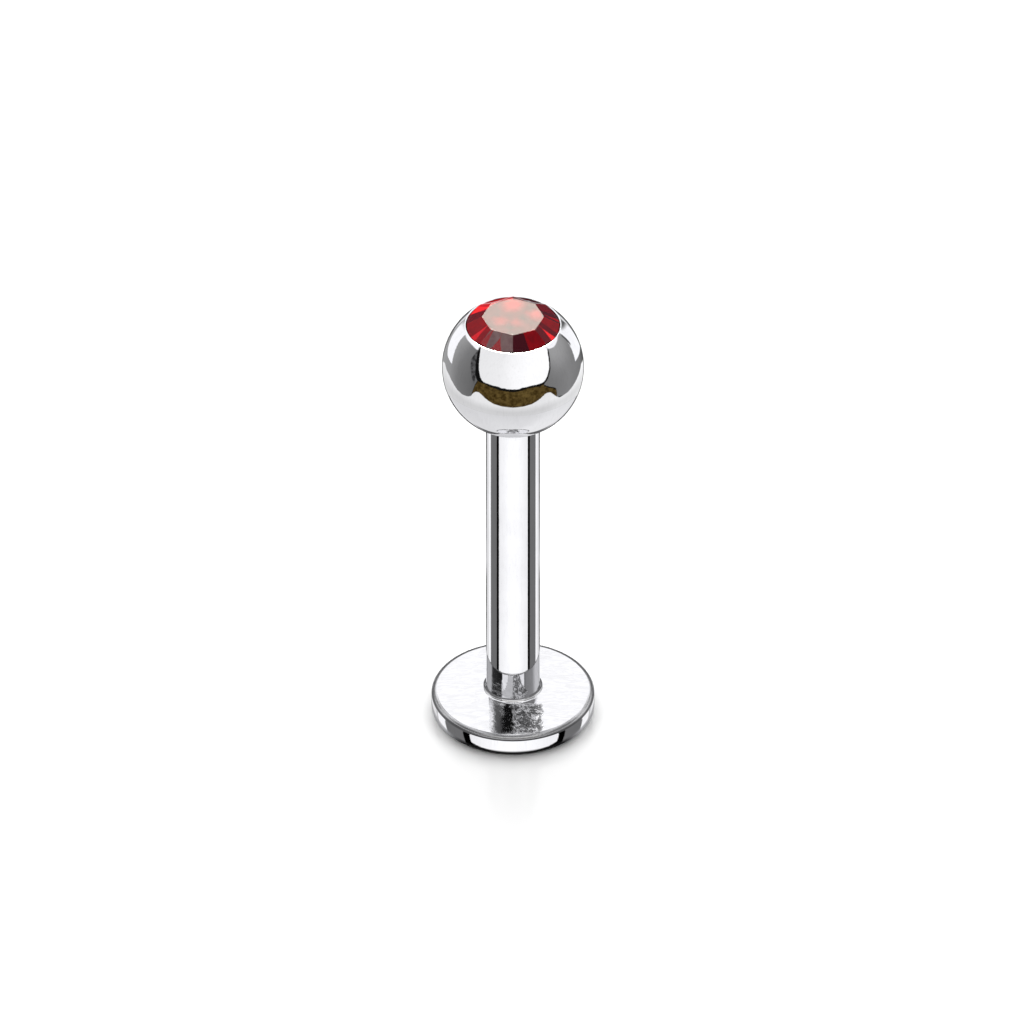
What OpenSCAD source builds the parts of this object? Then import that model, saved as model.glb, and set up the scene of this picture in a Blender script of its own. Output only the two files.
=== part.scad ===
// Labret stud: a flat-backed bar with a screw-on ball that carries one faceted stone.
// Millimetres, +Z up. The origin is the middle of the disc's flat underside.

/* [Bar] */
// Diameter of the bar
bar_d = 1.6; // [1.2:0.1:2]
// Length of the bar, from the disc's face to the shoulder that seats in the ball
bar_length = 10; // [6:0.5:20]
// Radius of the fillet where the bar is joined to the disc
foot_fillet = 0.12; // [0.05:0.01:0.3]
// Chamfer on the shoulder
shoulder_chamfer = 0.08; // [0.04:0.01:0.12]

/* [Disc] */
// Diameter of the disc
disc_d = 4.84; // [4:0.02:7]
// Height of the straight wall of the disc's edge
wall_h = 0.4; // [0.2:0.05:1]
// Radius of the round under the wall
under_round = 0.1; // [0.05:0.01:0.2]
// Radius of the tight round above the wall
edge_round = 0.12; // [0.08:0.01:0.16]
// Angle through which the tight round turns
edge_turn = 55; // [40:5:70]
// Radius of the softer round that leads on to the face
face_round = 0.27; // [0.2:0.01:0.36]
// Slope of the face, which rises to the bar
face_slope = 5; // [2:0.5:8]

/* [Thread] */
// Pitch of the thread
thread_pitch = 0.35; // [0.25:0.05:0.4]
// Depth of the thread on the tip, from crest to root
thread_depth = 0.12; // [0.06:0.01:0.14]
// Step from the bar's surface in to the thread's crest
crest_step = 0.045; // [0.03:0.005:0.1]
// Length of the plain neck between shoulder and thread
neck_length = 0.15; // [0.1:0.05:0.3]
// Height of the rounded tip
tip_h = 0.5; // [0.3:0.05:0.6]

/* [Ball] */
// Diameter of the ball
ball_d = 4.2; // [4:0.1:6]
// Width of the bare rim round the stone
rim_w = 0.042; // [0.03:0.002:0.2]
// Width of the countersink at the mouth of the hole
mouth_w = 0.095; // [0.06:0.005:0.15]
// Metal between the end of the hole and the seat of the stone
web_t = 0.2; // [0.15:0.05:0.5]

/* [Stone] */
// Diameter of the stone
gem_d = 2.74; // [2.2:0.02:3]
// Width of the table across its corners
table_w = 1.86; // [1.4:0.02:2]
// Slope of the crown's facets
crown_angle = 33; // [25:1:38]
// Slope of the pavilion's facets
pavilion_angle = 40; // [36:1:43]
// Height of the girdle at the middle of a facet
girdle_h = 0.07; // [0.03:0.01:0.15]
// Depth of the girdle below the rim
gem_set = 0.03; // [0:0.01:0.1]
// Number of facets round the crown, and round the pavilion
facets = 8; // [8:1:12]

/* [Fits] */
// Gap between the thread's crest and the wall of the hole
thread_gap = 0.02; // [0.01:0.005:0.05]
// Gap between the bar's shoulder and the countersink
shoulder_gap = 0.02; // [0.01:0.005:0.05]
// Gap between the tip and the end of the hole
tip_gap = 0.05; // [0.03:0.01:0.2]
// Gap between the stone and its seat
gem_gap = 0.02; // [0.01:0.005:0.04]

/* [Hidden] */

// How finely rounds are drawn
arc_steps = 8;
turn_steps = 24;
smooth_fn = 96;
// How far a cutter runs past what it cuts
over = 0.3;

bar_r = bar_d / 2;
disc_r = disc_d / 2;
ball_r = ball_d / 2;
gem_r = gem_d / 2;

// The thread's radii, on the tip and in the hole
crest_r = bar_r - crest_step;
root_r = crest_r - thread_depth;
neck_r = root_r - thread_depth / 3;
hole_r = crest_r + thread_gap;
groove_r = hole_r + thread_depth;
mouth_r = hole_r + mouth_w;

// Heights measured from the ball's centre
mouth_z = -sqrt(pow(ball_r, 2) - pow(mouth_r, 2));
seat_r = gem_r + gem_gap;
rim_z = sqrt(pow(ball_r, 2) - pow(seat_r + rim_w, 2));

// The stone: the crown and the pavilion are cones with flat sides
flat_share = cos(180 / facets);
table_flat_r = table_w / 2 * flat_share;
girdle_top_z = rim_z - gem_set;
girdle_low_z = girdle_top_z - girdle_h;
table_z = girdle_top_z + (gem_r - table_flat_r) * tan(crown_angle);
culet_z = girdle_low_z - gem_r * tan(pavilion_angle);
seat_slope = tan(pavilion_angle) * flat_share;
seat_tip_z = culet_z - gem_gap / cos(atan(seat_slope));

// The hole ends a web below the seat, and the tip a gap below that
hole_end_z = seat_tip_z - web_t;
hole_cone_h = hole_r * tan(20);

// The shoulder's cone lies a gap inside the cone of the countersink
shoulder_low_z = mouth_z + mouth_r - bar_r - shoulder_gap * sqrt(2);

// The disc's edge in section: the centres of its two upper rounds, and the edge of the face
edge_centre = [disc_r - edge_round, under_round + wall_h];
face_centre = edge_centre + (edge_round - face_round) * [cos(edge_turn), sin(edge_turn)];
face_edge = face_centre + face_round * [sin(face_slope), cos(face_slope)];

// Heights of the post and the place of the ball, from the disc's underside
disc_h = face_edge[1] + (face_edge[0] - bar_r - foot_fillet) * tan(face_slope);
fillet_z = disc_h + foot_fillet / cos(face_slope);
shoulder_z = disc_h + bar_length;
chamfer_z = shoulder_z - shoulder_chamfer;
ball_z = chamfer_z - shoulder_low_z;
tip_z = ball_z + hole_end_z - tip_gap;
dome_z = tip_z - tip_h;
thread_low_z = shoulder_z + neck_length;

// Radius of the rounded tip, from its width and height
tip_round = (pow(root_r, 2) + pow(tip_h, 2)) / (2 * tip_h);

// Points of an arc about a centre, from its start to the last one before its end
function arc(centre, radius, from, to) =
    [for (i = [0 : arc_steps - 1]) let (a = from + (to - from) * i / arc_steps)
        centre + radius * [cos(a), sin(a)]];

// One rib or groove of a thread, swept up a helix as a closed solid.
// It is four points in section, and sinks from outer_r to inner_r over the first and last half turn.
module helix(inner_r, outer_r, low_z, high_z) {
    rise = thread_pitch / turn_steps;
    steps = floor((high_z - low_z) / rise);
    fade = turn_steps / 2;
    foot_w = thread_pitch * 0.46;
    crest_w = thread_pitch * 0.1;
    slope = (foot_w - crest_w) / (outer_r - inner_r);
    sections = [for (i = [0 : steps])
        let (share = min(1, i / fade, (steps - i) / fade),
             r = inner_r + (outer_r - inner_r) * max(share, 0.15),
             w = foot_w - slope * (r - inner_r),
             a = 360 * i / turn_steps,
             z = low_z + rise * i)
        each [for (p = [[inner_r, -foot_w], [r, -w], [r, w], [inner_r, foot_w]])
            [p[0] * cos(a), p[0] * sin(a), z + p[1]]]];
    sides = [for (i = [0 : steps - 1], j = [0 : 3])
        let (a = 4 * i + j, b = 4 * i + (j + 1) % 4)
        each [[a, b, a + 4], [b, b + 4, a + 4]]];
    last = 4 * steps;
    ends = [[0, 2, 1], [0, 3, 2], [last, last + 1, last + 2], [last, last + 2, last + 3]];
    polyhedron(sections, concat(sides, ends), convexity = 10);
}

// Disc, bar and threaded tip: the disc is welded to the bar, so they are one solid.
module post() {
    tip_rise = asin(root_r / tip_round);
    outline = concat(
        [[0, 0]],
        arc([disc_r - under_round, under_round], under_round, -90, 0),
        [[disc_r, under_round]],
        arc(edge_centre, edge_round, 0, edge_turn),
        arc(face_centre, face_round, edge_turn, 90 - face_slope),
        [face_edge],
        arc([bar_r + foot_fillet, fillet_z], foot_fillet, -90 - face_slope, -180),
        [[bar_r, fillet_z], [bar_r, chamfer_z], [bar_r - shoulder_chamfer, shoulder_z],
         [neck_r, shoulder_z], [neck_r, thread_low_z], [root_r, thread_low_z + root_r - neck_r]],
        arc([0, tip_z - tip_round], tip_round, 90 - tip_rise, 90),
        [[0, tip_z]]
    );
    color("silver") union() {
        rotate_extrude($fn = smooth_fn) polygon(outline);
        helix(root_r - thread_depth / 2, crest_r, thread_low_z, dome_z);
    }
}

// Ball, drilled and threaded from below, with a seat for the stone on top.
module ball() {
    seat = [[0, seat_tip_z], [seat_r, seat_tip_z + seat_r * seat_slope], [seat_r, rim_z],
            [ball_r + over, rim_z], [ball_r + over, ball_r + over], [0, ball_r + over]];
    hole = [[0, mouth_z - over], [mouth_r + over, mouth_z - over],
            [hole_r, mouth_z + mouth_w], [hole_r, hole_end_z - hole_cone_h], [0, hole_end_z]];
    color("silver") translate([0, 0, ball_z]) difference() {
        sphere(ball_r, $fn = smooth_fn);
        rotate_extrude($fn = smooth_fn) polygon(seat);
        rotate_extrude($fn = smooth_fn) polygon(hole);
        helix(hole_r - thread_depth / 2, groove_r,
              mouth_z + mouth_w + thread_pitch / 2, hole_end_z - hole_cone_h - thread_pitch / 2);
    }
}

// Stone with a flat table, a ring of crown facets, a round girdle and a pointed pavilion.
module gem() {
    low_z = culet_z - over;
    high_z = table_z + over;
    crown_low_r = table_flat_r + (table_z - low_z) / tan(crown_angle);
    pavilion_high_r = (high_z - culet_z) / tan(pavilion_angle);
    color("firebrick") translate([0, 0, ball_z]) intersection() {
        translate([0, 0, low_z]) cylinder(r = gem_r, h = high_z - low_z, $fn = smooth_fn);
        translate([0, 0, low_z])
            cylinder(r1 = crown_low_r / flat_share, r2 = table_w / 2, h = table_z - low_z, $fn = facets);
        translate([0, 0, culet_z])
            cylinder(r1 = 0, r2 = pavilion_high_r / flat_share, h = high_z - culet_z, $fn = facets);
    }
}

post();
ball();
gem();
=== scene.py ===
import math
import bpy
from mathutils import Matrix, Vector


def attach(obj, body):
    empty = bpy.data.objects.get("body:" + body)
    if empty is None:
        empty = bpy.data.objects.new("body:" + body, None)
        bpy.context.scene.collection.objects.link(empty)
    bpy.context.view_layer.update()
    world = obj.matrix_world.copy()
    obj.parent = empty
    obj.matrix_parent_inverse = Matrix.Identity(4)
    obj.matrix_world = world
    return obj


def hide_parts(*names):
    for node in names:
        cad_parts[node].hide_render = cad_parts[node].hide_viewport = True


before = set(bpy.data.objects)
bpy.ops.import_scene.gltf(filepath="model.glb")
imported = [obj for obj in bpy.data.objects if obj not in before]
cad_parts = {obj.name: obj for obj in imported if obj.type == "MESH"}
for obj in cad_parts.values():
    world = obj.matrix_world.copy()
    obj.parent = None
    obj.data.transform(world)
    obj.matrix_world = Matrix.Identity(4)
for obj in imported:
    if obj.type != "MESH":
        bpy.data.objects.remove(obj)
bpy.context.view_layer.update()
print("frame loaded")

# Pieces are modelled in millimetres, then brought to metres. The disc stands on z = 0, and the
# front is -Y.
millimetre = 0.001
turnSteps = 192  # sides of everything turned on the lathe
threadSteps = 48  # steps of a thread tool to the turn
weld = 0.0005  # points closer than this become one
toDegrees = 180 / math.pi


def sinOf(degrees): return math.sin(math.radians(degrees))
def cosOf(degrees): return math.cos(math.radians(degrees))
def tanOf(degrees): return math.tan(math.radians(degrees))


def aimAt(azimuth, height):
    # a direction by its azimuth from the front, minus to the left, and its height above the horizon
    return (sinOf(azimuth) * cosOf(height), -cosOf(azimuth) * cosOf(height), sinOf(height))


# Modelling helpers

def deselectAll():
    if bpy.context.object and bpy.context.object.mode != "OBJECT":
        bpy.ops.object.mode_set(mode="OBJECT")
    bpy.ops.object.select_all(action="DESELECT")


def pick(piece):
    deselectAll()
    piece.select_set(True)
    bpy.context.view_layer.objects.active = piece


def applyPlace(piece):
    # the place, turn and scale of a piece go into its mesh
    pick(piece)
    bpy.ops.object.transform_apply(location=True, rotation=True, scale=True)


def applyModifiers(piece):
    pick(piece)
    for modifier in list(piece.modifiers):
        bpy.ops.object.modifier_apply(modifier=modifier.name)


def closeMesh():
    # in edit mode: doubles are merged and the faces point outward
    bpy.ops.mesh.select_all(action="SELECT")
    bpy.ops.mesh.remove_doubles(threshold=weld)
    bpy.ops.mesh.normals_make_consistent(inside=False)
    bpy.ops.object.mode_set(mode="OBJECT")


def along(start, end, share):
    return (start[0] + (end[0] - start[0]) * share, start[1] + (end[1] - start[1]) * share)


def roundOf(centre, radius, start, end, steps=10):
    # points on a round from one angle to another, both ends included
    angles = [start + (end - start) * i / steps for i in range(steps + 1)]
    return [(centre[0] + radius * cosOf(a), centre[1] + radius * sinOf(a)) for a in angles]


def straight(start, end, hold=0.02, cuts=3):
    # points along a straight run, with one close to each end so that the shading stays flat
    hold = hold / math.dist(start, end)
    shares = [hold] + [i / (cuts + 1) for i in range(1, cuts + 1)] + [1 - hold]
    return [along(start, end, share) for share in shares]


def bulge(start, end, depth, cuts=8):
    # points of a shallow curve that rises to its depth on the right of a straight run
    length = math.dist(start, end)
    out = ((end[1] - start[1]) / length, (start[0] - end[0]) / length)
    points = []
    for i in range(1, cuts + 1):
        share = i / (cuts + 1)
        rise = 4 * depth * share * (1 - share)
        place = along(start, end, share)
        points.append((place[0] + out[0] * rise, place[1] + out[1] * rise))
    return points


def drawOutline(name, points):
    # one vertex is drawn along the outline, in the plane of X and Z
    deselectAll()
    bpy.ops.mesh.primitive_plane_add(size=0.1, location=(points[0][0], 0, points[0][1]))
    piece = bpy.context.object
    piece.name = piece.data.name = name
    applyPlace(piece)
    bpy.ops.object.mode_set(mode="EDIT")
    bpy.ops.mesh.select_all(action="SELECT")
    bpy.ops.mesh.merge(type="CENTER")
    for here, there in zip(points, points[1:]):
        step = (there[0] - here[0], 0, there[1] - here[1])
        bpy.ops.mesh.extrude_vertices_move(TRANSFORM_OT_translate={"value": step})
    return piece


def turnOnLathe(name, points):
    piece = drawOutline(name, points)
    bpy.ops.mesh.select_all(action="SELECT")
    bpy.ops.mesh.spin(steps=turnSteps, angle=2 * math.pi, center=(0, 0, 0), axis=(0, 0, 1))
    closeMesh()
    return piece


def makeThreadTool(name, inner, outer, innerHalf, outerHalf, lowZ, pitch, turns):
    # a V-shaped tool, swept up a helix and closed at both ends
    corners = [(inner, lowZ - innerHalf), (outer, lowZ - outerHalf),
               (outer, lowZ + outerHalf), (inner, lowZ + innerHalf)]
    tool = drawOutline(name, corners)
    bpy.ops.mesh.select_all(action="SELECT")
    bpy.ops.mesh.edge_face_add()
    bpy.ops.mesh.delete(type="ONLY_FACE")
    bpy.ops.object.mode_set(mode="OBJECT")
    sweep = tool.modifiers.new("sweep", "SCREW")
    sweep.axis = "Z"
    sweep.angle = 2 * math.pi * turns
    sweep.screw_offset = pitch * turns
    sweep.steps = sweep.render_steps = int(threadSteps * turns)
    applyModifiers(tool)
    bpy.ops.object.mode_set(mode="EDIT")
    bpy.ops.mesh.select_all(action="DESELECT")
    bpy.ops.mesh.select_mode(type="EDGE")
    bpy.ops.mesh.select_non_manifold(extend=False)
    bpy.ops.mesh.edge_face_add()
    bpy.ops.mesh.select_mode(type="VERT")
    bpy.ops.mesh.select_all(action="SELECT")
    bpy.ops.mesh.normals_make_consistent(inside=False)
    bpy.ops.object.mode_set(mode="OBJECT")
    return tool


def cutAway(piece, tool):
    cut = piece.modifiers.new("cut", "BOOLEAN")
    cut.operation = "DIFFERENCE"
    cut.solver = "EXACT"
    cut.object = tool
    applyModifiers(piece)
    bpy.data.objects.remove(tool)


def finishPiece(piece, body, node, material, smoothAngle):
    # millimetres to metres, smooth shading, and its place in the frame
    piece.scale = (millimetre, millimetre, millimetre)
    applyPlace(piece)
    bpy.ops.object.shade_smooth_by_angle(angle=math.radians(smoothAngle))
    piece.data.materials.append(material)
    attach(piece, body)
    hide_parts(node)
    print("piece", piece.name, "faces", len(piece.data.polygons))


# Shader helpers

class Value:
    # one socket of a shader, with arithmetic that adds the Math nodes
    def __init__(self, sheet, socket):
        self.sheet, self.socket = sheet, socket

    def math(self, operation, *others):
        sockets = dict(enumerate((self, *others)))
        return self.sheet.node("ShaderNodeMath", {"operation": operation}, sockets)

    def __add__(self, other): return self.math("ADD", other)
    def __sub__(self, other): return self.math("SUBTRACT", other)
    def __mul__(self, other): return self.math("MULTIPLY", other)
    def __truediv__(self, other): return self.math("DIVIDE", other)
    def __neg__(self): return self.math("MULTIPLY", -1)
    __radd__, __rmul__ = __add__, __mul__

    def __rsub__(self, other):
        return self.sheet.node("ShaderNodeMath", {"operation": "SUBTRACT"}, {0: other, 1: self})

    def rise(self, low, high):
        # 0 below low, 1 above high, eased between them
        sockets = {"Value": self, "From Min": low, "From Max": high}
        return self.sheet.node("ShaderNodeMapRange", {"interpolation_type": "SMOOTHSTEP"}, sockets)

    def between(self, low, high, soft):
        return self.rise(low - soft, low + soft) * (1 - self.rise(high - soft, high + soft))


class Sheet:
    # the node sheet of one material or world
    def __init__(self, owner):
        owner.use_nodes = True
        self.tree = owner.node_tree
        self.tree.nodes.clear()

    def node(self, kind, settings=None, sockets=None, out=0):
        made = self.tree.nodes.new(kind)
        for key, value in (settings or {}).items():
            if key == "ramp":
                self.setRamp(made.color_ramp, value)
            else:
                setattr(made, key, value)
        for key, value in (sockets or {}).items():
            if isinstance(value, Value):
                self.tree.links.new(value.socket, made.inputs[key])
            else:
                made.inputs[key].default_value = value
        return Value(self, made.outputs[out]) if made.outputs else made

    def setRamp(self, ramp, stops):
        ramp.elements.remove(ramp.elements[-1])
        ramp.elements[0].position, ramp.elements[0].color = stops[0]
        for place, colour in stops[1:]:
            ramp.elements.new(place).color = colour

    def follow(self, value, points):
        # a level that runs straight from point to point as the value grows
        low, span = points[0][0], points[-1][0] - points[0][0]
        levels = [level for place, level in points]
        base, reach = min(levels), max(levels) - min(levels)
        shares = [((place - low) / span, (level - base) / reach) for place, level in points]
        stops = [(place, (share, share, share, 1)) for place, share in shares]
        ramp = self.node("ShaderNodeValToRGB", {"ramp": stops}, {0: (value - low) / span})
        return ramp * reach + base

    def outputOf(self, value, name):
        return Value(self, value.socket.node.outputs[name])

    def vector(self, operation, first, second=None, out=0):
        sockets = {0: first} if second is None else {0: first, 1: second}
        return self.node("ShaderNodeVectorMath", {"operation": operation}, sockets, out)

    def lengthOf(self, where):
        return self.vector("LENGTH", where, out=1)

    def partsOf(self, where):
        xyz = self.node("ShaderNodeSeparateXYZ", {}, {0: where})
        return [self.outputOf(xyz, name) for name in "XYZ"]

    def lookAt(self, direction):
        # a direction's azimuth and height, in degrees
        x, y, z = self.partsOf(direction)
        return x.math("ARCTAN2", -y) * toDegrees, z.math("ARCSINE") * toDegrees

    def towards(self, direction, azimuth, height):
        # cosine of the angle from this azimuth and height
        return self.vector("DOT_PRODUCT", direction, aimAt(azimuth, height), out=1)

    def objectPlace(self):
        return self.outputOf(self.node("ShaderNodeTexCoord"), "Object")

    def inMillimetres(self):
        sockets = {0: self.objectPlace(), "Scale": 1000}
        return self.node("ShaderNodeVectorMath", {"operation": "SCALE"}, sockets)

    def stretch(self, where, scale):
        return self.vector("MULTIPLY", where, scale)

    def mixColour(self, factor, first, second):
        return self.node("ShaderNodeMix", {"data_type": "RGBA"},
                         {0: factor, 6: first, 7: second}, out=2)

    def noise(self, where, scale, detail=3, roughness=0.5, distortion=0):
        sockets = {"Vector": where, "Scale": scale, "Detail": detail, "Roughness": roughness,
                   "Distortion": distortion}
        return self.node("ShaderNodeTexNoise", {}, sockets)

    def ray(self, name):
        return self.outputOf(self.node("ShaderNodeLightPath"), name)

    def mirrorsOnly(self):
        # 1 for rays that only polished surfaces have thrown, 0 once a matt one has
        return 1 - self.ray("Diffuse Depth").math("MINIMUM", 1)

    def mixShader(self, factor, first, second):
        return self.node("ShaderNodeMixShader", {}, {0: factor, 1: first, 2: second})


def grey(level): return (level, level, level * 1.02, 1)


# Camera and floor

shot = {"height": 36.7, "distance": 1300.0, "aim": (-0.028, 0.0, 7.197), "field": 30.34,
        "filmWidth": 36, "nearest": 0.05, "farthest": 5}
floorSize = {"half": 1.5, "tone": 0.8, "roughness": 0.6, "sheen": 0.9, "sheenRoughness": 0.06,
             "sheenStarts": 4, "sheenEnds": 10}


def setCamera():
    data = bpy.data.cameras.new("studioCamera")
    camera = bpy.data.objects.new("studioCamera", data)
    bpy.context.scene.collection.objects.link(camera)
    back = Vector(aimAt(0, shot["height"]))
    camera.location = (Vector(shot["aim"]) + back * shot["distance"]) * millimetre
    camera.rotation_mode = "QUATERNION"
    camera.rotation_quaternion = (-back).to_track_quat("-Z", "Y")
    data.sensor_width = shot["filmWidth"]
    data.lens = shot["filmWidth"] * shot["distance"] / shot["field"]
    data.clip_start, data.clip_end = shot["nearest"], shot["farthest"]
    bpy.context.scene.camera = camera


def layFloor():
    deselectAll()
    bpy.ops.mesh.primitive_plane_add(size=2 * floorSize["half"], location=(0, 0, 0))
    floor = bpy.context.object
    floor.name = "paleFloor"
    material = bpy.data.materials.new("paleFloor")
    floor.data.materials.append(material)
    sheet = Sheet(material)
    tone = floorSize["tone"]
    radius = sheet.lengthOf(sheet.inMillimetres())
    # it mirrors only close to the stud
    sheen = 1 - radius.rise(floorSize["sheenStarts"], floorSize["sheenEnds"])
    sockets = {"Base Color": (tone, tone, tone, 1), "Roughness": floorSize["roughness"],
               "Specular IOR Level": 0.0, "Coat Weight": sheen * floorSize["sheen"],
               "Coat Roughness": floorSize["sheenRoughness"]}
    shader = sheet.node("ShaderNodeBsdfPrincipled", {}, sockets)
    sheet.node("ShaderNodeOutputMaterial", {}, {"Surface": shader})
    floor.visible_glossy = False


# The far studio, which the bar, the disc and the stone mirror, and the lamps

studio = {"dome": 0.08, "sunWidth": 56, "suns": [(180, 50, 3.6), (105, 42, 1.35), (-105, 42, 1.35)],
          "back": 1.22, "top": 0.15, "window": 1.24, "side": 0.18, "white": 1.1, "black": 0.004,
          "band": 0.02, "leftLamp": 4.5, "empty": 1.2}


def lightStudio():
    world = bpy.data.worlds.new("softStudio")
    bpy.context.scene.world = world
    sheet = Sheet(world)
    azimuth, height = sheet.lookAt(sheet.node("ShaderNodeTexCoord"))
    turn = (azimuth - 2).math("ABSOLUTE")
    window, side, white, black = [studio[name] for name in ("window", "side", "white", "black")]

    # below the horizon: a white window with round lower corners between black edges, then grey
    # cards and white strips, and the table under them
    ring = sheet.follow(turn, [(0, window), (20, window * 0.985), (40, window * 0.91),
                               (64.2, window * 0.83), (65, black), (75, black), (76, side),
                               (111.3, side), (112.2, white), (132.5, white), (133.5, 0.5),
                               (142, 0.9), (180, 0.9)])
    below = (-37.8 - height).math("MAXIMUM", 0)
    corner = (turn + below * below * 1.1).rise(64, 65) * (1 - turn.rise(75, 76))
    ring = ring * (1 - corner)
    table = sheet.follow(height, [(-90, 0.9), (-60, 0.82), (-45, 0.77), (90, 0.77)])
    table = table * (azimuth.rise(30, 90) * 0.14 + 1)
    cardEnd = height + turn.rise(71, 76) * -3

    # level with the stud: grey sides, with a dark band in front
    sides = sheet.follow(turn, [(0, 0.3), (63, 0.3), (64, side), (125, side), (145, 0.14),
                                (180, 0.14)])
    band = height.between(-30, -3, 1) * (1 - turn.rise(61, 65))

    # above it: what the disc's face throws on to the foot of the bar, white cards at both sides,
    # the top, a lamp at the upper left, and the pale wall at the back that whitens the face
    footLevel = sheet.follow(azimuth, [(-180, 0.6), (-105, 0.55), (-96, 0.04), (-56, 0.015),
                                       (-46, 0.02), (-44, white), (47, white), (49, 0.15),
                                       (56, 0.28), (90, 0.34), (110, 0.75), (180, 0.75)])
    foot = height.between(20, 33, 1) * (1 - turn.rise(140, 148))
    sideWhite = height.between(33, 43, 2) * turn.between(50, 130, 2)
    high = height.rise(56, 60)
    leftTurn = (azimuth + 75).math("ABSOLUTE")
    leftLamp = (1 - leftTurn.rise(22, 30)) * height.between(60, 76, 3)
    back = turn.rise(146, 156) * height.between(24, 56, 4)

    level = ring + (table - ring) * (1 - cardEnd.rise(-45.5, -44.5))
    level = level + (sides - level) * height.rise(-31, -29)
    layers = [(band, studio["band"]), (foot, footLevel), (sideWhite, 1.0), (high, studio["top"]),
              (leftLamp, studio["leftLamp"]), (back, studio["back"])]
    for share, layer in layers:
        level = level * (1 - share) + share * layer
    colour = sheet.node("ShaderNodeCombineColor", {}, {0: level, 1: level, 2: level * 1.01})

    sockets = {"Color": colour, "Strength": sheet.mirrorsOnly()}
    mirrored = sheet.node("ShaderNodeBackground", {}, sockets)
    dome = sheet.node("ShaderNodeBackground", {},
                      {"Color": (1, 1, 1, 1), "Strength": studio["dome"]})
    empty = sheet.node("ShaderNodeBackground", {},
                       {"Color": (1, 1, 1, 1), "Strength": studio["empty"]})
    mixed = sheet.mixShader(sheet.ray("Is Diffuse Ray"), mirrored, dome)
    mixed = sheet.mixShader(sheet.ray("Is Camera Ray"), mixed, empty)
    sheet.node("ShaderNodeOutputWorld", {}, {"Surface": mixed})


def hangLamps():
    for place, (azimuth, height, strength) in enumerate(studio["suns"]):
        lamp = bpy.data.lights.new(f"backSoftbox{place}", "SUN")
        lamp.energy = strength
        lamp.angle = math.radians(studio["sunWidth"])
        sun = bpy.data.objects.new(f"backSoftbox{place}", lamp)
        bpy.context.scene.collection.objects.link(sun)
        sun.rotation_mode = "QUATERNION"
        sun.rotation_quaternion = Vector(aimAt(azimuth, height)).to_track_quat("Z", "Y")
        sun.visible_glossy = sun.visible_transmission = False


# Glowing cards, which only reflections see

contactCard = {"radius": 2.7, "drop": 0.002, "fadeStarts": 2.5, "fadeEnds": 2.62}
rearCard = {"radius": 90.0, "drop": 0.003, "pale": 0.85, "dark": 0.12}
tent = {"radius": 10.0, "centre": 12.55, "backGap": 148, "low": -43, "high": 58, "ragged": 2.4,
        "spot": 28.5, "spotHeight": 45.2, "spotHalfWidth": 9.5, "spotHalfHeight": 3.35}


def nameCard(name):
    card = bpy.context.object
    card.name = name
    material = bpy.data.materials.new(name)
    card.data.materials.append(material)
    return card, Sheet(material)


def layDisk(name, radius, drop):
    deselectAll()
    bpy.ops.mesh.primitive_circle_add(vertices=96, radius=radius * millimetre, fill_type="NGON",
                                      location=(0, 0, -drop * millimetre))
    return nameCard(name)


def finishCard(card, sheet, colour, strength, shown):
    # the card glows where it is shown, and is clear elsewhere
    glow = sheet.node("ShaderNodeEmission", {}, {"Color": colour, "Strength": strength})
    mixed = sheet.mixShader(shown, sheet.node("ShaderNodeBsdfTransparent"), glow)
    sheet.node("ShaderNodeOutputMaterial", {}, {"Surface": mixed})
    card.visible_camera = card.visible_diffuse = card.visible_shadow = False


def behindBall(sheet, direction):
    # straight behind the ball as the camera looks, where its lower outline is thrown
    return sheet.towards(direction, 180, -shot["height"]).rise(cosOf(29), cosOf(26))


def layContactCard():
    # painted shade: a dark card for the shaded gap under the disc's edge, which only its polished
    # underside sees
    card, sheet = layDisk("contactCard", contactCard["radius"], contactCard["drop"])
    azimuth, height = sheet.lookAt(sheet.objectPlace())
    colour = sheet.mixColour(azimuth.math("ABSOLUTE").rise(38, 62), grey(0.01), grey(0.4))
    radius = sheet.lengthOf(sheet.objectPlace()) * 1000
    shown = 1 - radius.rise(contactCard["fadeStarts"], contactCard["fadeEnds"])
    finishCard(card, sheet, colour, 1.0, shown)


def layRearCard():
    # the table behind the stud as the ball and the bar's edges see it: pale, with a dark patch
    card, sheet = layDisk("rearCard", rearCard["radius"], rearCard["drop"])
    where = sheet.inMillimetres()
    radius = sheet.lengthOf(where)
    direction = sheet.vector("NORMALIZE", sheet.vector("ADD", where, (0, 0, -tent["centre"])))
    azimuth, height = sheet.lookAt(direction)
    turn = azimuth.math("ABSOLUTE")
    near = turn.rise(139, 143) * (1 - radius.rise(6.5, 8))
    dark = behindBall(sheet, direction).math("MAXIMUM", near)
    colour = sheet.mixColour(dark, grey(rearCard["pale"]), grey(rearCard["dark"]))
    shown = radius.rise(2.75, 2.85) * turn.rise(133.5, 135)
    finishCard(card, sheet, colour, sheet.mirrorsOnly(), shown)


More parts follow.
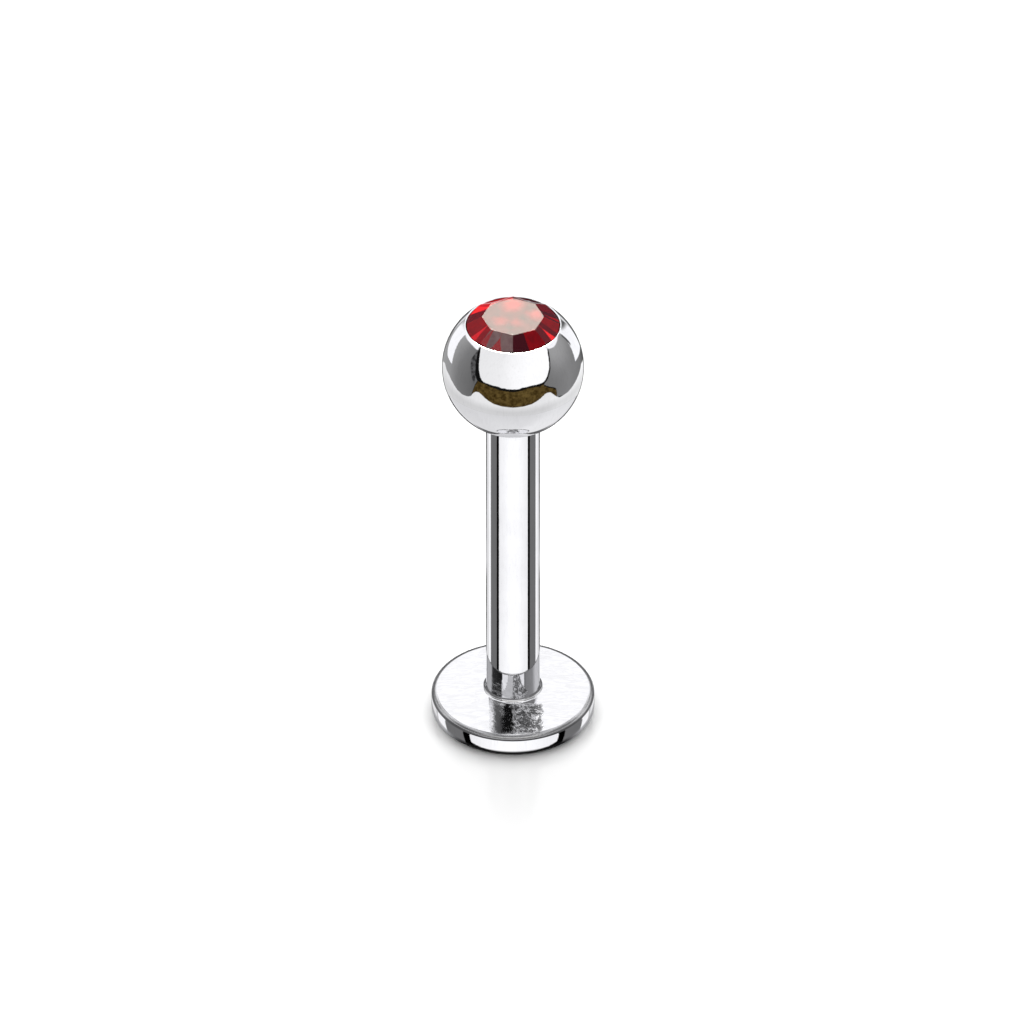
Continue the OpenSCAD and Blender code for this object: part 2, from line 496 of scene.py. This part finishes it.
# Outlines in the tent: azimuths with the heights that the edges have there
tentLines = {
    "window": [(-180, 60), (-76, 42), (-70, 38), (-65, 33), (-58, 23), (-53, 15.5), (-49, 9.5),
               (-44, 6), (-30, 5), (-22, 5.2), (-15, 4), (0, 3), (8, 3.4), (14, 5), (28, 5.4),
               (40, 4.6), (47, 6), (52, 10), (60, 19), (66, 28), (72, 35), (78, 39), (180, 60)],
    "frame": [(-180, 60), (-76, 38), (-72, 33), (-68, 28), (-65, 24), (-60, 14), (-56, 6.5),
              (-52, 3), (-40, 3.4), (-30, 2), (-20, 0.8), (-10, -0.5), (0, -1), (10, 0), (20, 2.6),
              (30, 2.4), (38, 1), (45, 1.5), (52, 6), (60, 15), (66, 24), (72, 31.5), (78, 37),
              (180, 60)],
    "cloth": [(-180, -60), (-63.5, -24), (-60, -18), (-58, -12), (-56, -5.5), (-54, 0), (-52, 5),
              (-50, 20), (43, 20), (45, 1), (50, -3.2), (55, -6.5), (60, -9.5), (64, -13),
              (66, -25), (180, -60)],
    "table": [(-180, -32), (-150, -31), (-140, -27), (-130, -23), (-110, -22), (-100, -24),
              (-90, -27), (-80, -28.3), (-70, -26.5), (-63, -23.4), (-58, -17), (-53, -12.4),
              (-48, -11.4), (-44, -14), (-37, -18.5), (-28, -23), (-15, -25.8), (0, -26.6),
              (15, -25.8), (28, -23), (38, -18), (45, -13.5), (49, -12.2), (54, -14), (60, -20),
              (65, -24.6), (72, -28.6), (90, -29.3), (110, -26), (130, -23.5), (150, -30),
              (180, -32)],
    "strip": [(-180, 12), (-150, 12), (-130, 16), (-120, 20.5), (-113, 23.5), (-100, 29.5),
              (-90, 33), (-78, 36), (-70, 45), (70, 45), (78, 38), (85, 33.5), (90, 31), (110, 27),
              (120, 23), (130, 17.5), (150, 12), (180, 12)],
}
# Outlines of the white crescents: heights with the azimuths that the edges have there
crescentLines = {
    "leftStart": [(-16, -128), (-10, -138), (0, -143), (8, -138), (18, -126), (60, -126)],
    "leftEnd": [(-14, -125), (-9, -106.5), (-5, -107.5), (5, -112.5), (10, -115), (18, -118),
                (60, -118)],
    "rightStart": [(-10, 111.5), (-3, 113), (3, 115), (10, 117), (18, 120), (60, 120)],
    "rightEnd": [(-26, 154), (-12, 152), (-6, 148), (0, 143), (6, 137), (15, 129), (60, 125)],
}
# Levels in the tent, along the azimuth or up the height
tentLevels = {
    "card": [(-180, 0.42), (-110, 0.37), (-88, 0.23), (-52, 0.14), (50, 0.21), (90, 0.27),
             (125, 0.22), (145, 0.1), (180, 0.3)],
    "table": [(-60, 0.8), (-43, 0.76), (-36, 0.75), (-30, 0.86), (-25, 0.97), (0, 0.97)],
    "window": [(-180, 1.1), (-90, 1.1), (-60, 0.96), (-20, 1.02), (0, 1.14), (30, 1.24), (90, 1.2),
               (180, 1.2)],
}


def pitchTent():
    # a light tent round the ball: a window over dark cloth in front, grey cards and white crescents
    # at the sides, the table below, and a small lamp at the back
    deselectAll()
    bpy.ops.mesh.primitive_uv_sphere_add(segments=96, ring_count=48,
                                         radius=tent["radius"] * millimetre,
                                         location=(0, 0, tent["centre"] * millimetre))
    shell, sheet = nameCard("lightTent")
    direction = sheet.vector("NORMALIZE", sheet.objectPlace())
    azimuth, height = sheet.lookAt(direction)
    turn = azimuth.math("ABSOLUTE")
    ragged = (sheet.noise(direction, 16, 5, 0.6) - 0.5) * tent["ragged"]
    fine = (sheet.noise(direction, 45, 3, 0.6) - 0.5) * tent["ragged"]
    blotch = sheet.noise(direction, 9, 6, 0.7)

    lines = {name: sheet.follow(azimuth, points) for name, points in tentLines.items()}
    inFront = 1 - turn.rise(76, 80)
    window = (height - (lines["window"] + ragged)).rise(-0.4, 0.4) * inFront
    blackFrame = (height - lines["frame"] - fine).rise(-0.4, 0.4) * inFront
    aboveTable = (height - lines["table"]).rise(-0.5, 0.5)
    cloth = (lines["cloth"] - height).rise(-0.3, 0.3) * aboveTable
    seam = (lines["cloth"] - height - fine).rise(1.6, 2.4)
    strip = (height - lines["strip"]).rise(-0.8, 0.8)
    smudge = azimuth.between(-76, -57, 1) * (height + azimuth * 1.4 + 84).rise(-2, 2) * aboveTable
    edge = azimuth.between(117, 120, 0.8) * height.between(4, 20, 2)

    ends = {name: sheet.follow(height, points) for name, points in crescentLines.items()}
    left = (azimuth - ends["leftStart"]).rise(-6, 2)
    left = left * (ends["leftEnd"] - azimuth + fine * 2).rise(-0.6, 0.6) * height.rise(-15, -13)
    right = (azimuth - ends["rightStart"] + fine * 2).rise(-0.6, 0.6)
    right = right * (ends["rightEnd"] - azimuth).rise(-3, 3)
    right = right * (height + azimuth * 0.36 - 30.5).rise(-0.6, 0.6)
    white = (left + right).math("MINIMUM", 1).math("MAXIMUM", strip)

    card = sheet.follow(azimuth, tentLevels["card"])
    card = card + height.rise(-5, 30) * azimuth.rise(50, 80) * 0.14
    table = sheet.follow(height, tentLevels["table"]) * (azimuth.rise(45, 80) * 0.16 + 1)
    lamp = sheet.follow(azimuth, tentLevels["window"])
    smoke = sheet.mixColour(blotch.rise(0.4, 0.6), grey(0.03), grey(0.14))
    brown = sheet.mixColour(blotch.rise(0.32, 0.7), (0.035, 0.02, 0.004, 1), (0.15, 0.1, 0.03, 1))
    again = sheet.ray("Glossy Depth").rise(1.2, 1.8)  # what the bar throws on to the disc
    brown = sheet.mixColour(again, brown, grey(0.012))

    # a small lamp at the back, which the stone's table throws to the camera
    aside = (180 - turn) / tent["spotHalfWidth"]
    over = (height - tent["spotHeight"]) / tent["spotHalfHeight"]
    spot = 1 - (aside * aside + over * over).rise(0.95, 1.05)
    spotColour = (tent["spot"], tent["spot"] * 0.97, tent["spot"] * 0.86, 1)

    colour = sheet.mixColour(aboveTable, table, card)
    layers = [(smudge, smoke), (white, grey(1.15)), (edge, grey(0.06)),
              (cloth, sheet.mixColour(seam, grey(0.008), brown)), (blackFrame, grey(0.006)),
              (window, lamp), (behindBall(sheet, direction), grey(0.1)), (spot, spotColour)]
    for share, layer in layers:
        colour = sheet.mixColour(share, colour, layer)
    front = 1 - turn.rise(tent["backGap"] - 1, tent["backGap"] + 1)
    shown = (front * height.between(tent["low"], tent["high"], 0.5)).math("MAXIMUM", spot)
    finishCard(shell, sheet, colour, sheet.mirrorsOnly(), shown)


# Polished steel

steel = {"light": 0.84, "dark": 0.76, "roughness": 0.02, "wear": 0.05, "bump": 0.0000008,
         "paintedShade": 0.02, "faceLow": 0.5, "faceHigh": 0.84, "patchLeft": -0.58, "patchRight": 0.82,
         "patchBack": 0.92, "patchFront": 2.2, "edgeStarts": 2.25, "edgeEnds": 2.31}


def makeSteel(name, toolMarksAndPaintedShade=False):
    # soft smears, fine scratches and faint turning rings
    material = bpy.data.materials.new(name)
    sheet = Sheet(material)
    where = sheet.inMillimetres()
    x, y, z = sheet.partsOf(where)
    smear = sheet.noise(where, 0.9, 4, 0.6)
    scratch = sheet.noise(sheet.stretch(where, (9, 9, 1.2)), 1.5, 5, 0.7)
    rings = sheet.noise(sheet.stretch(where, (0.02, 0.02, 16)), 1, 3, 0.6)
    wear = smear.rise(0.35, 0.7) * 0.5 + scratch.rise(0.45, 0.75) * 0.5
    height = scratch * 0.3 + rings * 0.5
    if toolMarksAndPaintedShade:
        # wavy brushing on the face, and a rougher patch in front of the bar, left by hand dressing;
        # the patch is also tinted dark, a painted reflection of the bar
        face = z.between(steel["faceLow"], steel["faceHigh"], 0.02)
        brushed = sheet.noise(sheet.stretch(where, (1.3, 4.5, 1)), 1.6, 5, 0.65, 1.2)
        wear = wear * (1 - face) + face * brushed.rise(0.35, 0.7) * 1.4
        chatter = sheet.noise(sheet.stretch(where, (1, 1, 1.4)), 6.5, 4, 0.7, 0.8)
        away = x + (chatter - 0.5) * 0.5
        apart = y + (chatter - 0.5) * 0.25
        patch = away.between(steel["patchLeft"], steel["patchRight"], 0.07) * face
        patch = patch * (1 - (apart + steel["patchBack"]).rise(-0.06, 0.06))
        patch = patch * (apart + steel["patchFront"]).rise(-0.08, 0.08)
        right = away.rise(-0.02, 0.04)
        foot = z.between(0.74, 1.5, 0.06) * (1 - x.rise(-0.35, -0.2)) * (1 - face)
        rough = patch * (right * 20 + 3) + foot * 6
        height = height + brushed * face * 1.3 + chatter * rough
        # painted reflection of the bar: the patch is tinted dark, with pale speckles on its right
        paintedShade = patch * (right * 0.4 + 0.4) * (1 - right * chatter.rise(0.5, 0.56))
        radius = (x * x + y * y).math("SQRT")
        edge = radius.rise(steel["edgeStarts"], steel["edgeEnds"]) * z.rise(0.5, 0.53)
        wear = wear + edge * 3.5
        # painted shade: the disc's edge round is darkened all round, and most at the front
        paintedEdgeShade = edge * (1 - y.rise(-1.9, -0.9)) * 0.35 + edge * 0.1
    tone = sheet.mixColour(wear.math("MINIMUM", 1), grey(steel["light"]), grey(steel["dark"]))
    if toolMarksAndPaintedShade:
        # the painted reflection of the bar and the painted shade on the edge both darken the tone
        tone = sheet.mixColour(paintedShade.math("MAXIMUM", paintedEdgeShade), tone, grey(steel["paintedShade"]))
    sockets = {"Strength": 1.0, "Distance": steel["bump"], "Height": height}
    bump = sheet.node("ShaderNodeBump", {}, sockets)
    sockets = {"Base Color": tone, "Metallic": 1.0, "Normal": bump,
               "Roughness": wear * steel["wear"] + steel["roughness"]}
    shader = sheet.node("ShaderNodeBsdfPrincipled", {}, sockets)
    sheet.node("ShaderNodeOutputMaterial", {}, {"Surface": shader})
    return material


# Red glass

glass = {"ior": 1.5, "clear": 0.12, "shine": 0.05, "tableEdge": 0.88, "crownWidth": 0.49}
reds = {"flash": (0.9, 0.02, 0.025, 1), "bright": (0.6, 0.012, 0.02, 1),
        "warm": (0.28, 0.005, 0.009, 1), "deep": (0.12, 0.005, 0.01, 1),
        "dark": (0.055, 0.007, 0.012, 1), "smoky": (0.17, 0.095, 0.095, 1)}
# where each facet's red starts, by azimuth
facetReds = [(-180, "bright"), (-114, "deep"), (-90, "warm"), (-45, "smoky"), (0, "dark"),
             (20, "warm"), (45, "deep"), (72, "warm"), (90, "dark"), (112, "deep"), (135, "dark"),
             (160, "deep")]
# painted glints, brighter wedges: azimuth, half width at the girdle, where they start, red
flashes = [(-122, 9, -0.5, "flash"), (-60, 5, -0.2, "bright"), (-41, 5, -0.3, "warm"),
           (-22, 8, 0.2, "warm"), (61, 4.5, 0.2, "flash"), (98, 4, 0, "warm")]
# painted bright reflections in the table: place, size, strength
tableSpots = [(0, 0.62, 0.34, 0.7), (0.7, 0.12, 0.3, 0.5), (-0.38, -0.25, 0.26, 0.35),
              (0.12, -0.3, 0.2, 0.3)]


def makeGlass():
    # red glass with a foil back: its red is its own, but each crown facet's brightness and the
    # flashes inside it are painted reflections
    material = bpy.data.materials.new("redGlass")
    sheet = Sheet(material)
    where = sheet.inMillimetres()
    x, y = sheet.partsOf(where)[:2]
    azimuth = x.math("ARCTAN2", -y) * toDegrees
    radius = (x * x + y * y).math("SQRT")
    share = (radius - glass["tableEdge"]) / glass["crownWidth"]  # 0 at the table, 1 at the girdle
    stops = [((place + 180) / 360, reds[red]) for place, red in facetReds]
    cells = sheet.node("ShaderNodeValToRGB", {"ramp": stops}, {0: azimuth / 360 + 0.5})
    cells.socket.node.color_ramp.interpolation = "CONSTANT"

    streaks = sheet.noise(sheet.stretch(where, (1, 1, 0.3)), 3.2, 3, 0.6, 0.8)
    colour = sheet.mixColour(streaks.rise(0.3, 0.7) * 0.45, cells, reds["dark"])
    for middle, width, low, red in flashes:
        opened = ((share - low) / (1 - low)).math("MINIMUM", 1).math("MAXIMUM", 0)
        wedge = (opened * width - (azimuth - middle).math("ABSOLUTE")).rise(-1, 1)
        colour = sheet.mixColour(wedge, colour, reds[red])

    cloud = sheet.noise(where, 1.7, 2)
    inside = sheet.mixColour(cloud.rise(0.35, 0.7), reds["deep"], reds["dark"])
    for spotX, spotY, size, strength in tableSpots:
        aside, ahead = x - spotX, y - spotY
        away = (aside * aside + ahead * ahead).math("SQRT") + (streaks - 0.5) * 0.3
        inside = sheet.mixColour((1 - away.rise(0, size * 1.5)) * strength, inside, reds["bright"])
    colour = sheet.mixColour(1 - radius.rise(0.845, 0.86), colour, inside)
    sockets = {"Base Color": colour, "Roughness": cloud * 0.015, "IOR": glass["ior"],
               "Specular IOR Level": glass["shine"], "Transmission Weight": glass["clear"]}
    shader = sheet.node("ShaderNodeBsdfPrincipled", {}, sockets)
    sheet.node("ShaderNodeOutputMaterial", {}, {"Surface": shader})
    return material


# The stud's sizes, in millimetres and degrees, as in the CAD

postSize = {"barRadius": 0.8, "length": 10.0, "footFillet": 0.12, "chamfer": 0.08,
            "discRadius": 2.42, "wall": 0.4, "bulge": 0.006, "underRound": 0.1, "edgeRound": 0.12,
            "edgeTurn": 55, "faceRound": 0.27, "faceSlope": 5, "pitch": 0.35, "threadDepth": 0.12,
            "crest": 0.755, "neck": 0.15, "tip": 0.5, "rootHalf": 0.056, "flank": 0.7,
            "toolStart": 0.06, "toolReach": 0.005, "toolTurns": 6}
ballSize = {"radius": 2.1, "rim": 0.042, "rimChamfer": 0.01, "mouth": 0.095, "web": 0.2,
            "threadGap": 0.02, "shoulderGap": 0.02, "tipGap": 0.05, "holeEndAngle": 20,
            "grooveHalf": 0.1435, "grooveTip": 0.035, "toolStart": 0.15, "toolReach": 0.04,
            "toolTurns": 3.5}
stoneSize = {"radius": 1.37, "table": 0.93, "crown": 33, "pavilion": 40, "girdle": 0.07,
             "set": 0.03, "facets": 8, "gap": 0.02, "spare": 0.05, "polish": 0.009,
             "polishAngle": 8}
smoothing = {"turned": 32, "cut": 5}  # faces that meet at a smaller angle are shaded as one

# Thread
rootRadius = postSize["crest"] - postSize["threadDepth"]
neckRadius = rootRadius - postSize["threadDepth"] / 3
holeRadius = postSize["crest"] + ballSize["threadGap"]

# Ball and stone, from the ball's centre
mouthRadius = holeRadius + ballSize["mouth"]
mouthZ = -math.sqrt(ballSize["radius"] ** 2 - mouthRadius ** 2)
seatRadius = stoneSize["radius"] + stoneSize["gap"]
rimZ = math.sqrt(ballSize["radius"] ** 2 - (seatRadius + ballSize["rim"]) ** 2)
flatShare = cosOf(180 / stoneSize["facets"])
tableFlat = stoneSize["table"] * flatShare
girdleTop = rimZ - stoneSize["set"]
girdleLow = girdleTop - stoneSize["girdle"]
tableZ = girdleTop + (stoneSize["radius"] - tableFlat) * tanOf(stoneSize["crown"])
culetZ = girdleLow - stoneSize["radius"] * tanOf(stoneSize["pavilion"])
seatSlope = tanOf(stoneSize["pavilion"]) * flatShare
seatTip = culetZ - stoneSize["gap"] * math.sqrt(1 + seatSlope ** 2)
holeEnd = seatTip - ballSize["web"]
holeConeHeight = holeRadius * tanOf(ballSize["holeEndAngle"])

# The disc's edge in section
edgeCentre = (postSize["discRadius"] - postSize["edgeRound"],
              postSize["underRound"] + postSize["wall"])
roundStep = postSize["edgeRound"] - postSize["faceRound"]
faceCentre = (edgeCentre[0] + roundStep * cosOf(postSize["edgeTurn"]),
              edgeCentre[1] + roundStep * sinOf(postSize["edgeTurn"]))
faceEdge = (faceCentre[0] + postSize["faceRound"] * sinOf(postSize["faceSlope"]),
            faceCentre[1] + postSize["faceRound"] * cosOf(postSize["faceSlope"]))

# Heights from the floor
footRadius = postSize["barRadius"] + postSize["footFillet"]
discHeight = faceEdge[1] + (faceEdge[0] - footRadius) * tanOf(postSize["faceSlope"])
filletZ = discHeight + postSize["footFillet"] / cosOf(postSize["faceSlope"])
shoulderZ = discHeight + postSize["length"]
chamferZ = shoulderZ - postSize["chamfer"]
shoulderGap = ballSize["shoulderGap"] * math.sqrt(2)
ballZ = chamferZ - (mouthZ + mouthRadius - postSize["barRadius"] - shoulderGap)
tipZ = ballZ + holeEnd - ballSize["tipGap"]
domeZ = tipZ - postSize["tip"]
threadLow = shoulderZ + postSize["neck"]


# Pieces

def makePost(material):
    # disc, bar and threaded tip, turned in one
    bar, disc, under = [postSize[key] for key in ("barRadius", "discRadius", "underRound")]
    slope, fillet = postSize["faceSlope"], postSize["footFillet"]
    crest, depth = postSize["crest"], postSize["threadDepth"]
    underEdge = (disc - under, 0)
    wallHigh = (edgeCentre[0] + postSize["edgeRound"], edgeCentre[1])
    footStart = (footRadius - fillet * sinOf(slope), filletZ - fillet * cosOf(slope))
    tipRound = (rootRadius ** 2 + postSize["tip"] ** 2) / (2 * postSize["tip"])
    tipRise = math.degrees(math.asin(rootRadius / tipRound))
    outline = [(0, 0)] + straight((0, 0), underEdge, cuts=6)
    outline += roundOf((underEdge[0], under), under, -90, 0, 12)
    outline += bulge((disc, under), wallHigh, postSize["bulge"])
    outline += roundOf(edgeCentre, postSize["edgeRound"], 0, postSize["edgeTurn"], 12)
    outline += roundOf(faceCentre, postSize["faceRound"], postSize["edgeTurn"], 90 - slope, 10)[1:]
    outline += straight(faceEdge, footStart, cuts=8)
    outline += roundOf((footRadius, filletZ), fillet, -90 - slope, -180, 12)
    outline += straight((bar, filletZ), (bar, chamferZ), cuts=20)
    outline += [(bar, chamferZ), (bar - postSize["chamfer"], shoulderZ), (neckRadius, shoulderZ),
                (neckRadius, threadLow), (crest, threadLow + crest - neckRadius),
                (crest, domeZ - depth)]
    outline += roundOf((0, tipZ - tipRound), tipRound, 90 - tipRise, 90, 12)[:-1] + [(0, tipZ)]
    post = turnOnLathe("labretPost", outline)
    outer = bar - postSize["toolReach"]
    outerHalf = postSize["rootHalf"] + postSize["flank"] * (outer - rootRadius)
    tool = makeThreadTool("threadTool", rootRadius, outer, postSize["rootHalf"], outerHalf,
                          threadLow + postSize["toolStart"], postSize["pitch"],
                          postSize["toolTurns"])
    cutAway(post, tool)
    finishPiece(post, "post", "post", material, smoothing["turned"])


def makeBall(material):
    # a ball with a seat for the stone on top and a threaded hole from below
    radius, chamfer = ballSize["radius"], ballSize["rimChamfer"]
    seatEdge = (seatRadius, seatTip + seatRadius * seatSlope)
    low = math.degrees(math.asin(mouthZ / radius))
    high = math.degrees(math.asin(rimZ / radius))
    outline = [(0, seatTip)] + straight((0, seatTip), seatEdge) + [seatEdge]
    outline += [(seatRadius, rimZ - chamfer), (seatRadius + chamfer, rimZ)]
    outline += roundOf((0, 0), radius, high, low, 110)
    outline += [(holeRadius, mouthZ + ballSize["mouth"]), (holeRadius, holeEnd - holeConeHeight),
                (0, holeEnd)]
    ball = turnOnLathe("stoneBall", outline)
    tool = makeThreadTool("holeTool", holeRadius - ballSize["toolReach"],
                          holeRadius + postSize["threadDepth"], ballSize["grooveHalf"],
                          ballSize["grooveTip"], mouthZ + ballSize["mouth"] + ballSize["toolStart"],
                          postSize["pitch"], ballSize["toolTurns"])
    cutAway(ball, tool)
    ball.location = (0, 0, ballZ)
    applyPlace(ball)
    finishPiece(ball, "ball", "ball", material, smoothing["turned"])


def makeStone(material):
    # a round blank, cut by the planes of the table, the crown and the pavilion
    deselectAll()
    lowZ, highZ = culetZ - stoneSize["spare"], tableZ + stoneSize["spare"]
    bpy.ops.mesh.primitive_cylinder_add(vertices=128, radius=stoneSize["radius"],
                                        depth=highZ - lowZ,
                                        location=(0, 0, (lowZ + highZ) / 2))
    stone = bpy.context.object
    stone.name = stone.data.name = "redStone"
    applyPlace(stone)
    bpy.ops.object.mode_set(mode="EDIT")
    crown, pavilion = stoneSize["crown"], stoneSize["pavilion"]
    cuts = [((0, 0, tableZ), (0, 0, 1))]
    for i in range(stoneSize["facets"]):
        side = 360 / stoneSize["facets"] * (i + 0.5)
        outX, outY = cosOf(side), sinOf(side)
        cuts.append(((tableFlat * outX, tableFlat * outY, tableZ),
                     (sinOf(crown) * outX, sinOf(crown) * outY, cosOf(crown))))
        cuts.append(((0, 0, culetZ),
                     (sinOf(pavilion) * outX, sinOf(pavilion) * outY, -cosOf(pavilion))))
    for place, normal in cuts:
        bpy.ops.mesh.select_all(action="SELECT")
        bpy.ops.mesh.bisect(plane_co=place, plane_no=normal, use_fill=True, clear_outer=True)
    closeMesh()
    polish = stone.modifiers.new("polish", "BEVEL")
    polish.width = stoneSize["polish"]
    polish.segments = 2
    polish.limit_method = "ANGLE"
    polish.angle_limit = math.radians(stoneSize["polishAngle"])
    applyModifiers(stone)
    stone.location = (0, 0, ballZ)
    applyPlace(stone)
    finishPiece(stone, "ball", "gem", material, smoothing["cut"])


setCamera()
layFloor()
lightStudio()
hangLamps()
pitchTent()
layContactCard()
layRearCard()
bpy.context.scene.view_settings.view_transform = "Standard"
print("studio ready")
makePost(makeSteel("polishedBar", toolMarksAndPaintedShade=True))
makeBall(makeSteel("polishedBall"))
makeStone(makeGlass())
